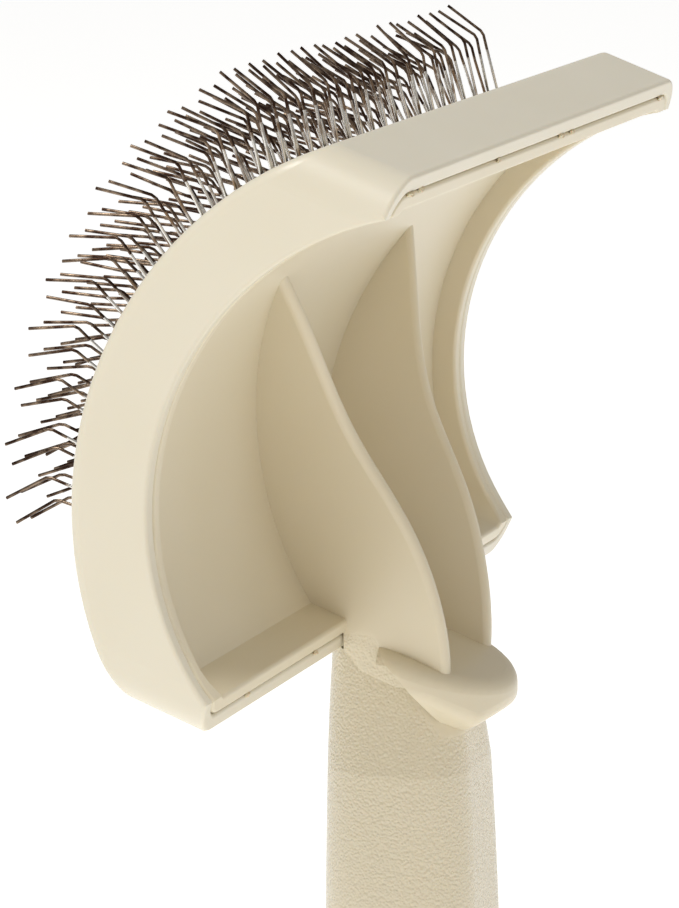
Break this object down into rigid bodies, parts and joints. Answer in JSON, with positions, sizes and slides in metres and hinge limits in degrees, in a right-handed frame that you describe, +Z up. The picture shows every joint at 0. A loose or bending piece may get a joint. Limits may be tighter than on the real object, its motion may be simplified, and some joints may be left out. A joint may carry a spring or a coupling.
{
  "type": "slicker brush",
  "caption": "Wide curved slicker brush with bent wire pins in a cushioned pad, a two-part plastic head with ribs behind it, and a straight handle with a thumb rest.",
  "frame": {"origin": "centre of the hang hole in the handle's end", "axes": "+Z up the handle towards the head, -Y the way the pins point, X across the head"},
  "size_m": [0.11, 0.0493, 0.1964],
  "materials": {
    "body_plastic": "satin moulded, fine texture on the handle",
    "frame_plastic": "satin moulded",
    "plug_plastic": "satin moulded",
    "facing_rubber": "matt sheet",
    "pad_fabric": "woven",
    "foam": "closed-cell foam",
    "pin_wire": "drawn bright wire"
  },
  "bodies": {
    "root": {"brush_body": "body_plastic", "head_frame": "frame_plastic", "end_plug": "plug_plastic", "pad_facing": "facing_rubber", "pad_cloth": "pad_fabric", "foam_cushion": "foam", "staple_row_01": "pin_wire", "staple_row_02": "pin_wire", "staple_row_03": "pin_wire", "staple_row_04": "pin_wire", "staple_row_05": "pin_wire", "staple_row_06": "pin_wire", "staple_row_07": "pin_wire", "staple_row_08": "pin_wire", "staple_row_09": "pin_wire", "staple_row_10": "pin_wire", "staple_row_11": "pin_wire", "staple_row_12": "pin_wire", "staple_row_13": "pin_wire", "staple_row_14": "pin_wire", "staple_row_15": "pin_wire", "staple_row_16": "pin_wire", "staple_row_17": "pin_wire", "staple_row_18": "pin_wire", "staple_row_19": "pin_wire", "staple_row_20": "pin_wire"}
  },
  "joints": []
}
